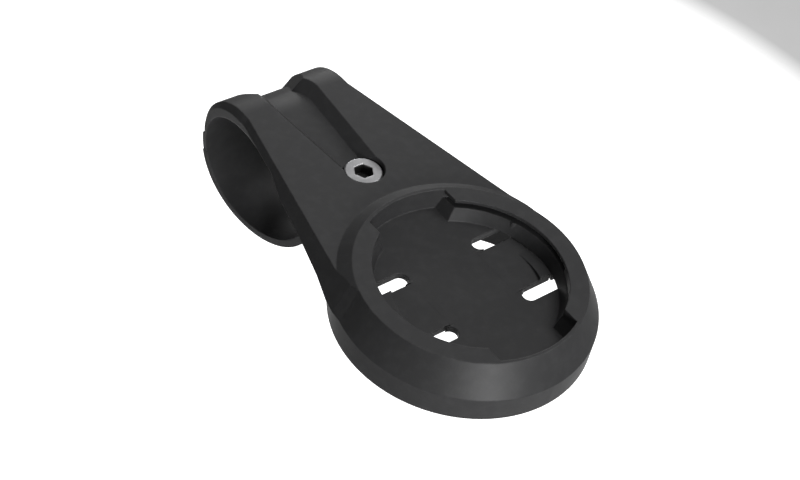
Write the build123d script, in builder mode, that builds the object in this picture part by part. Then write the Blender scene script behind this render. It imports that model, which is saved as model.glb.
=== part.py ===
from build123d import *
import math
import os

# Out-front handlebar mount with a quarter-turn dock. Millimetres.
# +X lies along the handlebar, +Y points forward from the bar to the dock, +Z is up.
# Origin: centre of the handlebar bore.

# ---- handlebar clamp ----
BAR_D = 31.8
BORE_R = BAR_D / 2
RING_R = 17.55
RING_CY = 0.35
RING_CZ = -0.1
TOP_HALF_WIDTH = 12.8
TOP_RAKE_Z = 0.085
BAND_HALF_WIDTH = 9.45
BAND_RAKE_Y = -0.2
BAND_RAKE_Z = 0.034
FRONT_HALF_WIDTH = 10.7
FRONT_RAKE_Y = -0.25
FRONT_RAKE_Z = 0.378
HINGE_Z = -3.0
HINGE_SEAM = 0.3
HINGE_CLEAR = 0.05
KNUCKLE_R = 0.45

# ---- arm ----
ARM_TOP_Z = 19.4
EAR_R = 14.35
EAR_CY = -1.6
ARM_HALF_WIDTH = 13.35
ARM_FLARE = 0.2075
ARM_DRAFT = 0.56
ARM_EDGE_T = 1.75
ARM_STRAIGHT_END = 51.4
ARM_TAIL_FLARE = 0.067
EDGE_ROUND = 0.35

# ---- channel between the ears ----
CHANNEL_FLOOR_R = 17.1
CHANNEL_TAPER = 0.0425
CHANNEL_FLARE = 1.8
CHANNEL_FLARE_Y = -7.0
CHANNEL_FLARE_RUN = 6.3
CHANNEL_END_HALF = 4.25
CHANNEL_WALL_RUN = 2.3

# ---- clamp bolt, nut and lugs ----
BOLT_Y = 24.6
BOLT_R = 2.5
HEAD_R = 4.25
HEAD_H = 5.0
HEAD_TOP_Z = 18.5
SOCKET_AF = 4.0
SOCKET_DEPTH = 2.6
BOLT_LENGTH = 20.0
HEAD_CLEAR = 0.35
SHANK_CLEAR = 0.35
SEAT_CLEAR = 0.05
LUG_HALF_WIDTH = 6.7
LUG_FRONT_Y = 30.6
SPLIT_TOP_Z = 1.2
SPLIT_LOW_Z = -1.0
LUG_LOW_Z = -7.2
NUT_AF = 8.0
NUT_H = 4.0
NUT_SEAT_Z = -3.0
NUT_CLEAR = 0.05

# ---- dock ----
DOCK_Y = 60.8
DOCK_TOP_Z = 21.1
RIM_R = 24.2
WALL_R = 27.85
WALL_TOP_Z = 14.3
SKIRT_Z = 8.75
SKIRT_T = 1.8
BACK_SKIRT_R = 22.1
BACK_SKIRT_Y = -9.0
COLLAR_R = 27.3
COLLAR_DROP = 1.8
FLOOR_Z = 15.9
FLOOR_T = 1.5
POCKET_R = 23.5
LIP_R = 20.2
LIP_T = 0.8
GROOVE_H = 1.3
LEDGE_FOOT_R = 19.2
ENTRY_HALF = 10.0
ENTRY_FOOT_HALF = 8.7
STOP_ANGLE = 155.0
CLICK_ANGLE = 203.0
CLICK_R = 0.55

# ---- floor slots and spring tongues ----
SLOT_W = 3.3
SLOT_Y = 8.25
SLOT_SET_BACK = 0.4
SLOT_ROOT_X = 8.8
SLOT_END_X = 19.2
TONGUE_GAP = 0.3
TONGUE_TIP_GAP = 0.45
RAMP_IN_R = 16.0
RAMP_H = 0.75
RAMP_FOOT_Y = 2.3

EAR_CZ = ARM_TOP_Z - EAR_R
HINGE_R = (BORE_R + RING_R - RING_CY) / 2
HINGE_Y = -math.sqrt(HINGE_R**2 - HINGE_Z**2)
SLOT_MID_Y = DOCK_Y - SLOT_SET_BACK
GROOVE_TOP_Z = DOCK_TOP_Z - LIP_T
GROOVE_LOW_Z = GROOVE_TOP_Z - GROOVE_H
WIDE = 40.0


def side_keep(x_sign, half, slope_y, slope_z, z_ref=0.0):
    # plane x = half + slope_y * y + slope_z * (z - z_ref), mirrored for the far side
    origin = (x_sign * (half - slope_z * z_ref), 0, 0)
    return Plane(origin=origin, z_dir=(x_sign, -slope_y, -slope_z))


def ring_piece(window, rake, ear=False):
    # one half of the clamp ring, cut to its raked end faces
    half, rake_y, rake_z = rake
    with BuildPart() as ring:
        with BuildSketch(Plane.YZ):
            with Locations((RING_CY, RING_CZ)):
                Circle(RING_R)
            if ear:
                with Locations((EAR_CY, EAR_CZ)):
                    Circle(EAR_R)
                with Locations((EAR_CY, EAR_CZ), (0, EAR_CZ)):
                    Rectangle(EAR_R, EAR_R, align=(Align.MIN, Align.MIN))
            with BuildLine():
                Polyline(*window, close=True)
            make_face(mode=Mode.INTERSECT)
        extrude(amount=WIDE / 2, both=True)
        for sign in (1, -1):
            split(bisect_by=side_keep(sign, half, rake_y, rake_z), keep=Keep.BOTTOM)
    return ring.part


def knuckle_rod():
    # round end of the flexing hinge, cut to the ring's raked ends
    with BuildPart() as bar:
        with BuildSketch(Plane.YZ):
            with Locations((HINGE_Y, HINGE_Z)):
                Circle(KNUCKLE_R)
        extrude(amount=WIDE / 2, both=True)
        for sign in (1, -1):
            split(bisect_by=side_keep(sign, *BAND_RAKE), keep=Keep.BOTTOM)
    return bar.part


def arm_blank(z_low, z_high):
    # drafted wedge: straight flared sides that run into the dock wall
    def half(y, z):
        flare = ARM_FLARE * min(y, ARM_STRAIGHT_END)
        flare += ARM_TAIL_FLARE * max(0.0, y - ARM_STRAIGHT_END)
        return ARM_HALF_WIDTH + flare + ARM_DRAFT * (ARM_TOP_Z - z)

    with BuildPart() as blank:
        for z in (z_low, z_high):
            right = [(half(y, z), y) for y in (EAR_CY, ARM_STRAIGHT_END, DOCK_Y)]
            left = [(-x, y) for x, y in reversed(right)]
            with BuildSketch(Plane.XY.offset(z)):
                with BuildLine():
                    Polyline(*right, *left, close=True)
                make_face()
        loft(ruled=True)
    return blank.part


def arm_profile():
    # side view of the arm plate: level top, its edge grows thicker toward the dock
    edge = ARM_TOP_Z - ARM_EDGE_T
    pts = [(EAR_CY, ARM_TOP_Z), (DOCK_Y, ARM_TOP_Z), (DOCK_Y, WALL_TOP_Z), (48.4, WALL_TOP_Z),
           (42.4, WALL_TOP_Z + 1.0), (32, edge - 1.55), (21.4, edge - 1.25), (15.4, edge),
           (EAR_CY, edge)]
    with BuildPart() as side:
        with BuildSketch(Plane.YZ):
            with BuildLine():
                Polyline(*pts, close=True)
            make_face()
        extrude(amount=WIDE, both=True)
    return side.part


def turned(points, axis_y=DOCK_Y):
    # solid of revolution about the dock axis from (radius, height) points
    with BuildPart() as body:
        with BuildSketch(Plane.YZ.offset(0)):
            with BuildLine():
                Polyline(*[(axis_y + r, z) for r, z in points], close=True)
            make_face()
        revolve(axis=Axis((0, axis_y, 0), (0, 0, 1)))
    return body.part


def block(x0, x1, y0, y1, z0, z1):
    with BuildPart() as box:
        with BuildSketch(Plane.XY.offset(z0)):
            with Locations(((x0 + x1) / 2, (y0 + y1) / 2)):
                Rectangle(x1 - x0, y1 - y0)
        extrude(amount=z1 - z0)
    return box.part


def sector(r, start, stop, z0, z1):
    # pie-shaped prism about the dock axis between two angles in degrees
    steps = 8
    pts = [(0.0, DOCK_Y)]
    for i in range(steps + 1):
        a = math.radians(start + (stop - start) * i / steps)
        pts.append((2 * r * math.cos(a), DOCK_Y + 2 * r * math.sin(a)))
    with BuildPart() as pie:
        with BuildSketch(Plane.XY.offset(z0)):
            with BuildLine():
                Polyline(*pts, close=True)
            make_face()
        extrude(amount=z1 - z0)
    return pie.part


def entry_prism():
    # straight entry across the dock, its lower walls drafted
    with BuildPart() as entry:
        with BuildSketch(Plane.XZ.offset(-DOCK_Y)):
            with BuildLine():
                Polyline((-ENTRY_FOOT_HALF, FLOOR_Z), (ENTRY_FOOT_HALF, FLOOR_Z),
                         (ENTRY_HALF, GROOVE_LOW_Z), (ENTRY_HALF, DOCK_TOP_Z + 1),
                         (-ENTRY_HALF, DOCK_TOP_Z + 1), (-ENTRY_HALF, GROOVE_LOW_Z), close=True)
            make_face()
        extrude(amount=WIDE, both=True)
    return entry.part & turned([(0, FLOOR_Z), (POCKET_R, FLOOR_Z), (POCKET_R, DOCK_TOP_Z + 1),
                                (0, DOCK_TOP_Z + 1)])


def slot_cutter(sign_x, sign_y):
    # slot in the floor, round at its inner end and straight at its outer end
    half = SLOT_W / 2
    y = SLOT_MID_Y + sign_y * SLOT_Y
    xs = sorted((sign_x * (SLOT_ROOT_X + half), sign_x * SLOT_END_X))
    with BuildPart() as slot:
        with BuildSketch(Plane.XY.offset(FLOOR_Z - 2 * FLOOR_T)):
            with Locations((sign_x * (SLOT_ROOT_X + half), y)):
                Circle(half)
            with Locations(((xs[0] + xs[1]) / 2, y)):
                Rectangle(xs[1] - xs[0], SLOT_W)
        extrude(amount=2 * FLOOR_T)
    return slot.part


def floor_disc(r):
    return turned([(0, FLOOR_Z - 2 * FLOOR_T), (r, FLOOR_Z - 2 * FLOOR_T),
                   (r, FLOOR_Z + 2 * FLOOR_T), (0, FLOOR_Z + 2 * FLOOR_T)])


def tongue_window(sign_x):
    # opening of the floor for one spring tongue, with a rounded hinge seat at its root
    inner = SLOT_Y - SLOT_W / 2
    mid = FLOOR_Z - FLOOR_T / 2
    xs = sorted((sign_x * SLOT_ROOT_X, sign_x * (LEDGE_FOOT_R + 1)))
    hole = block(xs[0], xs[1], SLOT_MID_Y - inner, SLOT_MID_Y + inner,
                 FLOOR_Z - 2 * FLOOR_T, FLOOR_Z + 0.5)
    with BuildPart() as seat:
        with BuildSketch(Plane.XZ.offset(-SLOT_MID_Y)):
            with Locations((sign_x * SLOT_ROOT_X, mid)):
                Circle(FLOOR_T / 2 + HINGE_CLEAR)
        extrude(amount=inner, both=True)
    return (hole & floor_disc(LEDGE_FOOT_R)) + seat.part


def channel_cutter():
    # sloped-wall channel between the ears: narrows to the bolt seat, flares over the back
    slope = CHANNEL_WALL_RUN / (ARM_TOP_Z - CHANNEL_FLOOR_R)
    top = ARM_TOP_Z + 1
    with BuildPart() as groove:
        for y in (BOLT_Y, CHANNEL_FLARE_Y, CHANNEL_FLARE_Y - CHANNEL_FLARE_RUN, -CHANNEL_FLOOR_R):
            flare = CHANNEL_FLARE * max(0.0, (CHANNEL_FLARE_Y - y) / CHANNEL_FLARE_RUN)
            half = CHANNEL_END_HALF + CHANNEL_TAPER * (BOLT_Y - y) + flare
            foot = half - CHANNEL_WALL_RUN
            foot_z = math.sqrt(CHANNEL_FLOOR_R**2 - min(y, 0.0) ** 2)
            brow = foot + slope * (top - foot_z)
            with BuildSketch(Plane.XZ.offset(-y)):
                with BuildLine():
                    Polyline((-foot, -0.5), (foot, -0.5), (foot, foot_z), (brow, top),
                             (-brow, top), (-foot, foot_z), close=True)
                make_face()
        loft(ruled=True)
        # the floor rolls over the back of the clamp
        with BuildSketch(Plane.YZ):
            Circle(CHANNEL_FLOOR_R)
            Rectangle(WIDE, CHANNEL_FLOOR_R, align=(Align.MIN, Align.MIN))
            Rectangle(2 * WIDE, WIDE, align=(Align.CENTER, Align.MAX))
        extrude(amount=WIDE, both=True, mode=Mode.SUBTRACT)
    return groove.part


def ear_bevel(sign):
    # cone that carries the arm's drafted side round the back of an ear
    r_out, r_in = EAR_R + 2, EAR_R - 4
    with BuildPart() as bevel:
        with BuildSketch(Plane.XY.offset(EAR_CZ)):
            with BuildLine():
                Polyline((sign * (ARM_HALF_WIDTH - 2 * ARM_DRAFT), EAR_CY - r_out),
                         (sign * WIDE, EAR_CY - r_out), (sign * WIDE, EAR_CY - r_in),
                         (sign * (ARM_HALF_WIDTH + 4 * ARM_DRAFT), EAR_CY - r_in), close=True)
            make_face()
        revolve(axis=Axis((0, EAR_CY, EAR_CZ), (1, 0, 0)), revolution_arc=360)
    return bevel.part & block(-2 * WIDE, 2 * WIDE, -WIDE, EAR_CY, EAR_CZ - 3, WIDE)


# ---------------- mount arm: clamp top, arm and dock in one moulding ----------------
TOP_RAKE = (TOP_HALF_WIDTH, 0.0, TOP_RAKE_Z)
FRONT_RAKE = (FRONT_HALF_WIDTH, FRONT_RAKE_Y, FRONT_RAKE_Z)
BAND_RAKE = (BAND_HALF_WIDTH, BAND_RAKE_Y, BAND_RAKE_Z)
ring_top = ring_piece([(-WIDE, HINGE_Z), (HINGE_Y + 4, HINGE_Z), (0, SPLIT_TOP_Z),
                       (WIDE, SPLIT_TOP_Z), (WIDE, WIDE), (-WIDE, WIDE)], TOP_RAKE, ear=True)
for sign in (1, -1):
    ring_top = split(ring_top, bisect_by=side_keep(sign, ARM_HALF_WIDTH, 0.0, -ARM_DRAFT,
                                                   ARM_TOP_Z), keep=Keep.BOTTOM)
    ring_top = split(ring_top, bisect_by=side_keep(sign, *FRONT_RAKE), keep=Keep.BOTTOM)
    ring_top = ring_top - ear_bevel(sign)

dock_solid = turned([(0, SKIRT_Z), (WALL_R, SKIRT_Z), (WALL_R, WALL_TOP_Z),
                     (RIM_R, DOCK_TOP_Z), (0, DOCK_TOP_Z)])
collar = turned([(0, WALL_TOP_Z), (COLLAR_R, WALL_TOP_Z), (COLLAR_R, DOCK_TOP_Z - COLLAR_DROP),
                 (RIM_R, DOCK_TOP_Z), (0, DOCK_TOP_Z)])
under_floor = [turned([(0, SKIRT_Z - 1), (r, SKIRT_Z - 1), (r, FLOOR_Z - FLOOR_T),
                       (0, FLOOR_Z - FLOOR_T)]) for r in (BACK_SKIRT_R, WALL_R - SKIRT_T)]
under_floor[1] = under_floor[1] & block(-WIDE, WIDE, DOCK_Y + BACK_SKIRT_Y, DOCK_Y + WIDE,
                                        SKIRT_Z - 1, FLOOR_Z)
well = turned([(0, FLOOR_Z), (LEDGE_FOOT_R, FLOOR_Z), (LIP_R - 0.1, GROOVE_LOW_Z),
               (LIP_R, GROOVE_LOW_Z), (LIP_R, DOCK_TOP_Z + 1), (0, DOCK_TOP_Z + 1)])
tab_track = turned([(LIP_R - 1, GROOVE_LOW_Z), (POCKET_R, GROOVE_LOW_Z),
                    (POCKET_R, GROOVE_TOP_Z), (LIP_R - 1, GROOVE_TOP_Z)])
tracks = [tab_track & sector(POCKET_R, a, a + 180 - STOP_ANGLE + 70, GROOVE_LOW_Z, GROOVE_TOP_Z)
          for a in (STOP_ANGLE, STOP_ANGLE - 180)]

with BuildPart() as mount_arm:
    add(arm_blank(WALL_TOP_Z, DOCK_TOP_Z + 1) & (arm_profile() + collar))
    add(dock_solid)
    add(ring_top)
    # upper lug under the arm, round the bolt
    add(block(-LUG_HALF_WIDTH, LUG_HALF_WIDTH, BORE_R - 4, LUG_FRONT_Y, SPLIT_TOP_Z,
              ARM_TOP_Z - ARM_EDGE_T))
    # ribs that tie the lug to the dock skirt
    for x in (-LUG_HALF_WIDTH + 1, 0, LUG_HALF_WIDTH - 1):
        add(block(x - 1, x + 1, LUG_FRONT_Y - 1, DOCK_Y - WALL_R + 3, SKIRT_Z + 1.5,
                  WALL_TOP_Z + 1))
    # bar bore
    with BuildSketch(Plane.YZ):
        Circle(BORE_R)
    extrude(amount=WIDE, both=True, mode=Mode.SUBTRACT)
    for hollow in under_floor:
        add(hollow, mode=Mode.SUBTRACT)
    add(well, mode=Mode.SUBTRACT)
    add(entry_prism(), mode=Mode.SUBTRACT)
    for track in tracks:
        add(track, mode=Mode.SUBTRACT)
    for sx in (1, -1):
        add(tongue_window(sx), mode=Mode.SUBTRACT)
        for sy in (1, -1):
            add(slot_cutter(sx, sy), mode=Mode.SUBTRACT)
    add(channel_cutter(), mode=Mode.SUBTRACT)
    # bolt counterbore and clearance hole
    with BuildSketch(Plane.XY.offset(HEAD_TOP_Z - HEAD_H - SEAT_CLEAR)):
        with Locations((0, BOLT_Y)):
            Circle(HEAD_R + HEAD_CLEAR)
    extrude(amount=WIDE, mode=Mode.SUBTRACT)
    with BuildSketch(Plane.XY):
        with Locations((0, BOLT_Y)):
            Circle(BOLT_R + SHANK_CLEAR)
    extrude(amount=HEAD_TOP_Z, mode=Mode.SUBTRACT)
    # rounded hinge seat at the back of the ring
    with BuildSketch(Plane.YZ):
        with Locations((HINGE_Y, HINGE_Z)):
            Circle(KNUCKLE_R + HINGE_CLEAR)
    extrude(amount=WIDE, both=True, mode=Mode.SUBTRACT)
    # click ribs on the ledge walls
    for a in (CLICK_ANGLE, CLICK_ANGLE - 180):
        ca, sa = math.cos(math.radians(a)), math.sin(math.radians(a))
        with BuildSketch(Plane.XY.offset(FLOOR_Z)):
            with Locations((LIP_R * ca, DOCK_Y + LIP_R * sa)):
                Circle(CLICK_R)
        extrude(amount=GROOVE_LOW_Z - FLOOR_Z)

# ---------------- clamp band: lower half ring with the lower lug ----------------
with BuildPart() as clamp_band:
    add(ring_piece([(-WIDE, HINGE_Z - HINGE_SEAM), (0, HINGE_Z - HINGE_SEAM), (0, SPLIT_LOW_Z),
                    (WIDE, SPLIT_LOW_Z), (WIDE, -WIDE), (-WIDE, -WIDE)], BAND_RAKE))
    with BuildSketch(Plane.YZ):
        with BuildLine():
            Polyline((BORE_R - 3, SPLIT_LOW_Z), (LUG_FRONT_Y, SPLIT_LOW_Z),
                     (LUG_FRONT_Y, LUG_LOW_Z), (BORE_R - 3, LUG_LOW_Z), close=True)
        make_face()
    extrude(amount=LUG_HALF_WIDTH, both=True)
    with BuildSketch(Plane.YZ):
        Circle(BORE_R)
    extrude(amount=WIDE, both=True, mode=Mode.SUBTRACT)
    # rounded knuckle of the flexing hinge
    add(knuckle_rod())
    # bolt hole and nut pocket, open below
    with BuildSketch(Plane.XY.offset(LUG_LOW_Z - 1)):
        with Locations((0, BOLT_Y)):
            Circle(BOLT_R + SHANK_CLEAR)
    extrude(amount=WIDE / 2, mode=Mode.SUBTRACT)
    with BuildSketch(Plane.XY.offset(NUT_SEAT_Z)):
        with Locations((0, BOLT_Y)):
            RegularPolygon(NUT_AF / 2 + NUT_CLEAR, 6, major_radius=False)
    extrude(amount=-WIDE / 2, mode=Mode.SUBTRACT)

# ---------------- clamp bolt: M5 socket head cap screw ----------------
with BuildPart() as clamp_bolt:
    with BuildSketch(Plane.XY.offset(HEAD_TOP_Z - HEAD_H)):
        with Locations((0, BOLT_Y)):
            Circle(HEAD_R)
    extrude(amount=HEAD_H)
    chamfer(clamp_bolt.edges().group_by(Axis.Z)[-1], length=0.35)
    with BuildSketch(Plane.XY.offset(HEAD_TOP_Z)):
        with Locations((0, BOLT_Y)):
            RegularPolygon(SOCKET_AF / 2, 6, major_radius=False)
    extrude(amount=-SOCKET_DEPTH, mode=Mode.SUBTRACT)
    with BuildSketch(Plane.XY.offset(HEAD_TOP_Z - HEAD_H)):
        with Locations((0, BOLT_Y)):
            Circle(BOLT_R)
    extrude(amount=-BOLT_LENGTH)
    chamfer(clamp_bolt.edges().group_by(Axis.Z)[0], length=0.5)

# ---------------- captive nut in the lower lug ----------------
with BuildPart() as clamp_nut:
    with BuildSketch(Plane.XY.offset(NUT_SEAT_Z - NUT_CLEAR)):
        with Locations((0, BOLT_Y)):
            RegularPolygon(NUT_AF / 2, 6, major_radius=False)
            Circle(BOLT_R + SHANK_CLEAR, mode=Mode.SUBTRACT)
    extrude(amount=-NUT_H)


def ramp_wedge(sign_x, half):
    # wedge that rises along the tongue's width toward the slot the tab arrives from
    high_y = SLOT_MID_Y - sign_x * half
    low_y = DOCK_Y + sign_x * RAMP_FOOT_Y
    with BuildPart() as wedge:
        with BuildSketch(Plane.YZ):
            with BuildLine():
                Polyline((low_y, FLOOR_Z), (high_y, FLOOR_Z + RAMP_H), (high_y, FLOOR_Z - 0.2),
                         (low_y, FLOOR_Z - 0.2), close=True)
            make_face()
        extrude(amount=sign_x * (LEDGE_FOOT_R + 1))
    return wedge.part


def tongue(sign_x):
    # floor tongue that flexes about its rounded root, with a click ramp near its tip
    half = SLOT_Y - SLOT_W / 2 - TONGUE_GAP
    mid = FLOOR_Z - FLOOR_T / 2
    xs = sorted((sign_x * SLOT_ROOT_X, sign_x * (LEDGE_FOOT_R + 1)))
    with BuildPart() as piece:
        add(block(xs[0], xs[1], SLOT_MID_Y - half, SLOT_MID_Y + half, FLOOR_Z - FLOOR_T, FLOOR_Z))
        with BuildSketch(Plane.XZ.offset(-SLOT_MID_Y)):
            with Locations((sign_x * SLOT_ROOT_X, mid)):
                Circle(FLOOR_T / 2)
        extrude(amount=half, both=True)
        ring = turned([(RAMP_IN_R, FLOOR_Z - 0.2), (LEDGE_FOOT_R, FLOOR_Z - 0.2),
                       (LEDGE_FOOT_R, FLOOR_Z + RAMP_H + 1), (RAMP_IN_R, FLOOR_Z + RAMP_H + 1)])
        add(ramp_wedge(sign_x, half) & ring)
        add(floor_disc(LEDGE_FOOT_R - TONGUE_TIP_GAP), mode=Mode.INTERSECT)
    return piece.part


with BuildPart() as tongue_left:
    add(tongue(1))

with BuildPart() as tongue_right:
    add(tongue(-1))

os.makedirs("parts", exist_ok=True)
mount_arm.part.label = "mount_arm"
export_step(mount_arm.part, "parts/mount_arm.step")
clamp_band.part.label = "clamp_band"
export_step(clamp_band.part, "parts/clamp_band.step")
clamp_bolt.part.label = "clamp_bolt"
export_step(clamp_bolt.part, "parts/clamp_bolt.step")
clamp_nut.part.label = "clamp_nut"
export_step(clamp_nut.part, "parts/clamp_nut.step")
tongue_left.part.label = "tongue_left"
export_step(tongue_left.part, "parts/tongue_left.step")
tongue_right.part.label = "tongue_right"
export_step(tongue_right.part, "parts/tongue_right.step")
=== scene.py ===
import math
import bpy
from mathutils import Matrix, Vector


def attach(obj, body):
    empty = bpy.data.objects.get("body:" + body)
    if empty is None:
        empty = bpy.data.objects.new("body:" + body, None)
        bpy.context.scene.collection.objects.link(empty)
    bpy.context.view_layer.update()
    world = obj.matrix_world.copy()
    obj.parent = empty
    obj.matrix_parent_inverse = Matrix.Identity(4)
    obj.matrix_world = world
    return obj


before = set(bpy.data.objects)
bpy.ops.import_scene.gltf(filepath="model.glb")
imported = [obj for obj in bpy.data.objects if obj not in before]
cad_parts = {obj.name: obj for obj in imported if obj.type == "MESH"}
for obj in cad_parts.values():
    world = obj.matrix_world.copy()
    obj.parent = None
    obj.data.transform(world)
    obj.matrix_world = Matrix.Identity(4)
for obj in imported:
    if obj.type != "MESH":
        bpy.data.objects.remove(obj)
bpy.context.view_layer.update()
scene = bpy.context.scene

# ---- the clamp bolt, in metres ----
BOLT_AXIS = (0.0, 0.0246, 0.0)
SOCKET_R = 0.00235
HEAD_TOP = 0.0185

# ---- skins over the seams of the flexing places, in millimetres ----
MM_PER_M = 1000
# over each tongue's root, between the two slots and just above the dock's floor
ROOT_SKIN_X = (8.10, 9.25)
ROOT_SKIN_Y = (53.81, 66.99)
ROOT_SKIN_Z = (15.901, 15.911)
# along the hinge at the ring's back, just inside the bore
BORE_SKIN_HALF = 12.42
BORE_SKIN_Z = (-3.75, -2.55)
BORE_SKIN_R = (15.860, 15.875)
BORE_SKIN_STEPS = 6
# along the same hinge on the ring's outside; its top stays clear of the arm as the ring opens
BACK_SKIN_HALF = 12.45
BACK_SKIN_Y = (-16.92, -16.72)
BACK_SKIN_Z = (-3.295, -3.035)

# ---- floor, in metres ----
FLOOR_SIZE = 6
FLOOR_AT = (-0.21, -0.17, -0.30)
PATCH_R = 0.29
PATCH_END_R = 0.33
PATCH_GLOW = 1.05

# ---- light: name, azimuth, elevation, size in metres, power in watts ----
LIGHTS = (("overhead", 240, 66, 0.6, 5.4),
          ("front_low", 164, 13, 0.24, 9.0),
          ("rear_low", -36, 14, 0.30, 1.7))
LIGHT_DISTANCE = 0.9
LIT_POINT = Vector((0, 0.04, 0.01))
SKY_LOW = 0.02
SKY_HIGH = 0.34

# ---- camera, in degrees, metres and millimetres of lens ----
AZIMUTH, ELEVATION, ROLL = 134.0, 44.5, 12.26
TARGET = Vector((0.00312, 0.0425, 0.0150))
DISTANCE = 0.317
LENS = 68.45
SENSOR = 36.0


# ---------------- node helpers ----------------
def new_material(name):
    mat = bpy.data.materials.new(name)
    mat.use_nodes = True
    nodes, links = mat.node_tree.nodes, mat.node_tree.links
    return mat, nodes, links, nodes["Principled BSDF"]


def noise(nodes, links, coord, scale, detail, rough=0.55):
    n = nodes.new("ShaderNodeTexNoise")
    n.inputs["Scale"].default_value = scale
    n.inputs["Detail"].default_value = detail
    n.inputs["Roughness"].default_value = rough
    links.new(coord, n.inputs["Vector"])
    return n.outputs["Fac"]


def span(nodes, links, value, lo, hi, out_lo, out_hi):
    m = nodes.new("ShaderNodeMapRange")
    m.inputs["From Min"].default_value = lo
    m.inputs["From Max"].default_value = hi
    m.inputs["To Min"].default_value = out_lo
    m.inputs["To Max"].default_value = out_hi
    links.new(value, m.inputs["Value"])
    return m.outputs["Result"]


def mixed(nodes, links, fac, a, b, blend="MIX"):
    # fac is a socket or a number, a and b are sockets or colours
    m = nodes.new("ShaderNodeMix")
    m.data_type = "RGBA"
    m.blend_type = blend
    for key, value in (("Factor", fac), ("A", a), ("B", b)):
        if isinstance(value, bpy.types.NodeSocket):
            links.new(value, m.inputs[key])
        else:
            m.inputs[key].default_value = value if key == "Factor" else (*value, 1)
    return m.outputs["Result"]


def product(nodes, links, a, b):
    m = nodes.new("ShaderNodeMath")
    m.operation = "MULTIPLY"
    links.new(a, m.inputs[0])
    links.new(b, m.inputs[1])
    return m.outputs["Value"]


def bump(nodes, links, height, strength, distance, normal):
    b = nodes.new("ShaderNodeBump")
    b.inputs["Strength"].default_value = strength
    b.inputs["Distance"].default_value = distance
    links.new(height, b.inputs["Height"])
    if normal is not None:
        links.new(normal, b.inputs["Normal"])
    return b.outputs["Normal"]


def edge_mask(nodes, links, radius):
    # the rounded normal, and a mask: 0 on flat faces, 1 where it turns away from its face
    soft = nodes.new("ShaderNodeBevel")
    soft.samples = 6
    soft.inputs["Radius"].default_value = radius
    face = nodes.new("ShaderNodeNewGeometry")
    dot = nodes.new("ShaderNodeVectorMath")
    dot.operation = "DOT_PRODUCT"
    links.new(soft.outputs["Normal"], dot.inputs[0])
    links.new(face.outputs["Normal"], dot.inputs[1])
    return soft.outputs["Normal"], span(nodes, links, dot.outputs["Value"], 0.97, 0.80, 0.0, 1.0)


def bore_mask(nodes, links, coord, centre, radius, below):
    # 1 inside an upright hole of this centre and radius, under the height given
    flat = nodes.new("ShaderNodeVectorMath")
    flat.operation = "MULTIPLY"
    flat.inputs[1].default_value = (1, 1, 0)
    links.new(coord, flat.inputs[0])
    gap = nodes.new("ShaderNodeVectorMath")
    gap.operation = "DISTANCE"
    gap.inputs[1].default_value = centre
    links.new(flat.outputs["Vector"], gap.inputs[0])
    split = nodes.new("ShaderNodeSeparateXYZ")
    links.new(coord, split.inputs["Vector"])
    near = span(nodes, links, gap.outputs["Value"], radius, radius + 0.0002, 1.0, 0.0)
    under = span(nodes, links, split.outputs["Z"], below - 0.0004, below, 1.0, 0.0)
    return product(nodes, links, near, under)


# ---------------- materials ----------------
def nylon(name, rounded):
    # moulded nylon: fine spark texture and faint flow clouds; where it is rounded, its edges
    # are softened in shading and rubbed paler
    mat, nodes, links, shader = new_material(name)
    coord = nodes.new("ShaderNodeTexCoord").outputs["Object"]
    broad = noise(nodes, links, coord, 45, 3)
    middle = noise(nodes, links, coord, 420, 4)
    fine = noise(nodes, links, coord, 2600, 3, 0.6)
    cloud = mixed(nodes, links, broad, (0.0190, 0.0190, 0.0198), (0.0235, 0.0235, 0.0242))
    fleck = mixed(nodes, links, span(nodes, links, middle, 0.45, 0.72, 0.0, 1.0),
                  (0.0, 0.0, 0.0), (0.0050, 0.0050, 0.0051))
    colour = mixed(nodes, links, 1.0, cloud, fleck, "ADD")
    soft = None
    if rounded:
        soft, edge = edge_mask(nodes, links, 0.0004)
        wear = product(nodes, links, edge, span(nodes, links, middle, 0.35, 0.65, 0.1, 0.8))
        colour = mixed(nodes, links, wear, colour, (0.050, 0.050, 0.051))
    links.new(colour, shader.inputs["Base Color"])
    links.new(span(nodes, links, broad, 0.3, 0.7, 0.48, 0.57), shader.inputs["Roughness"])
    grain = bump(nodes, links, middle, 0.10, 0.00006, soft)
    links.new(bump(nodes, links, fine, 0.35, 0.00004, grain), shader.inputs["Normal"])
    shader.inputs["IOR"].default_value = 1.33
    return mat


def steel(name):
    # plated steel: fine grain, faint blotches, bright rubbed edges, and painted shade in the hex
    # socket:
    # its inside is coloured near-black and made barely metallic
    mat, nodes, links, shader = new_material(name)
    coord = nodes.new("ShaderNodeTexCoord").outputs["Object"]
    fine = noise(nodes, links, coord, 1500, 3)
    broad = noise(nodes, links, coord, 260, 3)
    soft, edge = edge_mask(nodes, links, 0.00025)
    plate = mixed(nodes, links, fine, (0.42, 0.42, 0.43), (0.55, 0.55, 0.56))
    rubbed = mixed(nodes, links, edge, plate, (0.72, 0.72, 0.73))
    # painted shade: inside the hex socket the colour turns near-black and the metal is mostly
    # turned off
    socket = bore_mask(nodes, links, coord, BOLT_AXIS, SOCKET_R, HEAD_TOP)
    colour = mixed(nodes, links, socket, rubbed, (0.018, 0.018, 0.018))
    links.new(colour, shader.inputs["Base Color"])
    links.new(span(nodes, links, socket, 0.0, 1.0, 1.0, 0.2), shader.inputs["Metallic"])
    links.new(span(nodes, links, broad, 0.3, 0.7, 0.34, 0.50), shader.inputs["Roughness"])
    links.new(bump(nodes, links, fine, 0.15, 0.00003, soft), shader.inputs["Normal"])
    return mat


black = nylon("black_nylon_moulded", True)
skin_black = nylon("black_nylon_skin", False)
metal = steel("bolt_steel")
for name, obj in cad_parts.items():
    look = metal if name in ("clamp_bolt", "clamp_nut") else black
    for entry in obj.material_slots:
        entry.material = look


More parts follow.
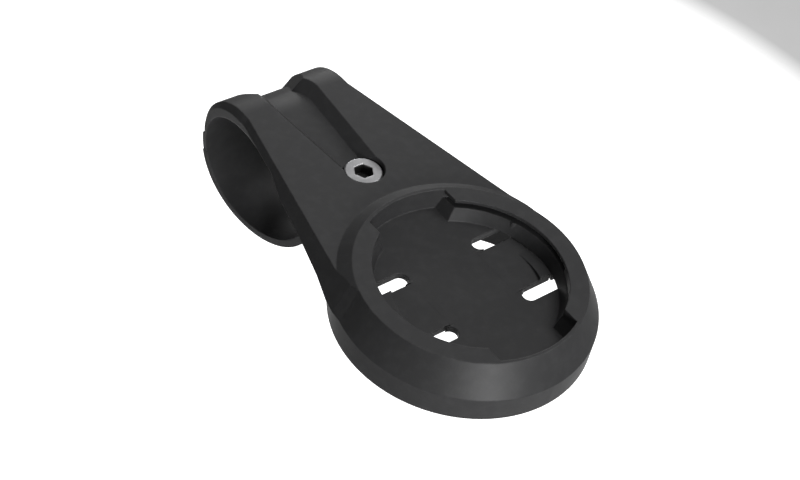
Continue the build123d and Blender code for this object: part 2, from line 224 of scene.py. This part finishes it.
# ---------------- skins over the seams of the flexing places ----------------
# On the object each flexing place is one moulding, so these close its running gap.
def skin(name, pts, faces, body):
    mesh = bpy.data.meshes.new(name)
    mesh.from_pydata([tuple(v / MM_PER_M for v in pt) for pt in pts], [], faces)
    obj = bpy.data.objects.new(name, mesh)
    scene.collection.objects.link(obj)
    obj.data.materials.append(skin_black)
    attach(obj, body)


def bar(name, xs, ys, zs, body):
    # box between two places on each axis, the lower one first
    pts = [(x, y, z) for z in zs for y in ys for x in xs]
    faces = [(0, 2, 3, 1), (4, 5, 7, 6), (0, 1, 5, 4), (2, 6, 7, 3), (0, 4, 6, 2), (1, 3, 7, 5)]
    skin(name, pts, faces, body)


def bore_strip(name, half, z_span, radii, steps, body):
    # thin curved strip along the bore's back wall, closed on every side
    z_low, z_high = z_span
    pts = []
    for i in range(steps + 1):
        z = z_low + (z_high - z_low) * i / steps
        for r in radii:
            pts += [(x, -math.sqrt(r * r - z * z), z) for x in (-half, half)]
    last = 4 * steps
    faces = [(0, 2, 3, 1)]
    for k in range(0, last, 4):
        faces += [(k, k + 1, k + 5, k + 4), (k + 1, k + 3, k + 7, k + 5),
                  (k + 3, k + 2, k + 6, k + 7), (k + 2, k, k + 4, k + 6)]
    faces.append((last, last + 1, last + 3, last + 2))
    skin(name, pts, faces, body)


for side, body in ((1, "tongue_l"), (-1, "tongue_r")):
    root_xs = sorted(side * x for x in ROOT_SKIN_X)
    bar("root_skin_" + body, root_xs, ROOT_SKIN_Y, ROOT_SKIN_Z, body)
bore_strip("hinge_skin_inner", BORE_SKIN_HALF, BORE_SKIN_Z, BORE_SKIN_R, BORE_SKIN_STEPS, "band")
bar("hinge_skin_outer", (-BACK_SKIN_HALF, BACK_SKIN_HALF), BACK_SKIN_Y, BACK_SKIN_Z, "band")


# ---------------- floor ----------------
# A pale floor well below the mount; the patch behind it is lit to pure white.
def floor_white():
    mat, nodes, links, shader = new_material("floor_white")
    coord = nodes.new("ShaderNodeTexCoord").outputs["Object"]
    paper = noise(nodes, links, coord, 30, 2)
    links.new(mixed(nodes, links, paper, (0.62, 0.62, 0.62), (0.66, 0.66, 0.66)),
              shader.inputs["Base Color"])
    shader.inputs["Roughness"].default_value = 0.9
    shader.inputs["Specular IOR Level"].default_value = 0.0
    shader.inputs["Emission Color"].default_value = (1, 1, 1, 1)
    reach = nodes.new("ShaderNodeVectorMath")
    reach.operation = "LENGTH"
    links.new(coord, reach.inputs[0])
    links.new(span(nodes, links, reach.outputs["Value"], PATCH_R, PATCH_END_R, PATCH_GLOW, 0.0),
              shader.inputs["Emission Strength"])
    return mat


bpy.ops.mesh.primitive_plane_add(size=FLOOR_SIZE, location=FLOOR_AT)
floor = bpy.context.object
floor.name = "floor"
floor.data.materials.append(floor_white())

# ---------------- light ----------------
# The sky brightens from just under the horizon upwards.
world = bpy.data.worlds.new("studio")
scene.world = world
world.use_nodes = True
sky = world.node_tree
split = sky.nodes.new("ShaderNodeSeparateXYZ")
sky.links.new(sky.nodes.new("ShaderNodeTexCoord").outputs["Generated"], split.inputs["Vector"])
backdrop = sky.nodes["Background"]
backdrop.inputs["Color"].default_value = (1, 1, 1, 1)
sky.links.new(span(sky.nodes, sky.links, split.outputs["Z"], -0.1, 0.9, SKY_LOW, SKY_HIGH),
              backdrop.inputs["Strength"])


def outward(azimuth, elevation):
    # unit vector from the object towards a light or camera at these angles
    a, e = math.radians(azimuth), math.radians(elevation)
    return Vector((math.sin(a) * math.cos(e), -math.cos(a) * math.cos(e), math.sin(e)))


for name, azimuth, elevation, size, power in LIGHTS:
    away = outward(azimuth, elevation)
    light = bpy.data.lights.new(name, "AREA")
    light.shape = "DISK"
    light.size = size
    light.energy = power
    lamp = bpy.data.objects.new(name, light)
    lamp.location = LIT_POINT + away * LIGHT_DISTANCE
    lamp.rotation_mode = "QUATERNION"
    lamp.rotation_quaternion = away.to_track_quat("Z", "Y")
    scene.collection.objects.link(lamp)

# ---------------- camera ----------------
back = outward(AZIMUTH, ELEVATION)
level = Vector((-back.y, back.x, 0)).normalized()
upright = back.cross(level)
roll = math.radians(ROLL)
right = level * math.cos(roll) + upright * math.sin(roll)
up = back.cross(right)
place = TARGET + back * DISTANCE
camera = bpy.data.cameras.new("camera")
camera.lens = LENS
camera.sensor_width = SENSOR
camera.clip_start = 0.01
cam = bpy.data.objects.new("camera", camera)
cam.matrix_world = Matrix(((right.x, up.x, back.x, place.x),
                           (right.y, up.y, back.y, place.y),
                           (right.z, up.z, back.z, place.z),
                           (0, 0, 0, 1)))
scene.collection.objects.link(cam)
scene.camera = cam
scene.view_settings.view_transform = "Standard"
